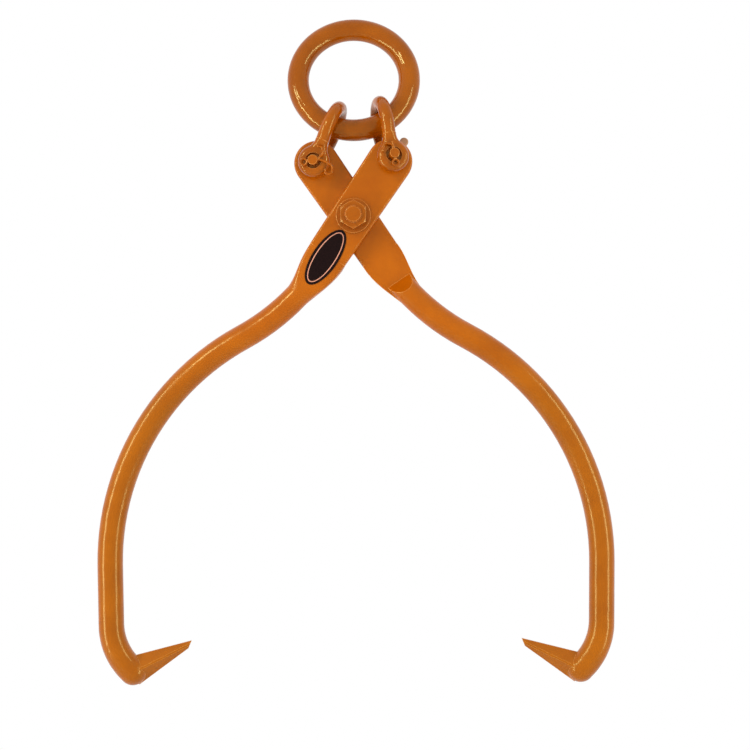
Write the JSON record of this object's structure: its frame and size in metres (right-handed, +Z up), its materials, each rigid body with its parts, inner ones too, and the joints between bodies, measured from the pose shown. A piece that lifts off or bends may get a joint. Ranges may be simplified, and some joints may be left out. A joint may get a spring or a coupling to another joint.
{
  "type": "lifting tongs",
  "caption": "Scissor lifting tongs: hooked arms crossing on a pivot bolt, hung by bow shackles from one round ring.",
  "frame": {"origin": "centre of the ring's eye", "axes": "+Z up, +X to the right across the grab, +Y away from the viewer"},
  "size_m": [0.4912, 0.0765, 0.639],
  "materials": {
    "orange_paint": "glossy dipped orange paint, slightly uneven",
    "label_black": "glossy black with a thin pale line"
  },
  "bodies": {
    "ring": {"master_ring": "orange_paint"},
    "left_shackle": {"shackle_left": "orange_paint", "shackle_pin_left": "orange_paint", "split_pin_left": "orange_paint"},
    "back_arm": {"arm_back": "orange_paint", "pivot_bolt": "orange_paint", "pivot_nut": "orange_paint", "pivot_washer_front": "orange_paint", "pivot_washer_back": "orange_paint"},
    "front_arm": {"arm_front": "orange_paint", "oval_label": "label_black"},
    "right_shackle": {"shackle_right": "orange_paint", "shackle_pin_right": "orange_paint", "split_pin_right": "orange_paint"}
  },
  "joints": [
    {"name": "left_shackle_on_ring", "type": "hinge", "parent": "ring", "child": "left_shackle", "pos_m": [0, 0, 0], "axis": [0, 1, 0], "range_deg": [-8.5, 16.5]},
    {"name": "back_arm_on_left_pin", "type": "hinge", "parent": "left_shackle", "child": "back_arm", "pos_m": [-0.03522, -0.01095, -0.08188], "axis": [0, 1, 0], "range_deg": [-42.5, 21.5]},
    {"name": "arms_pivot", "type": "hinge", "parent": "back_arm", "child": "front_arm", "pos_m": [0, -0.0165, -0.1329], "axis": [0, 1, 0], "range_deg": [-26, 52]},
    {"name": "right_shackle_on_right_pin", "type": "hinge", "parent": "front_arm", "child": "right_shackle", "pos_m": [0.03447, -0.02205, -0.08137], "axis": [0, 1, 0], "range_deg": [-42.5, 21.5]}
  ],
  "couplings": [
    {"joint": "left_shackle_on_ring", "follows": "arms_pivot", "ratio": 0.31},
    {"joint": "back_arm_on_left_pin", "follows": "arms_pivot", "ratio": -0.81},
    {"joint": "right_shackle_on_right_pin", "follows": "arms_pivot", "ratio": -0.81}
  ]
}
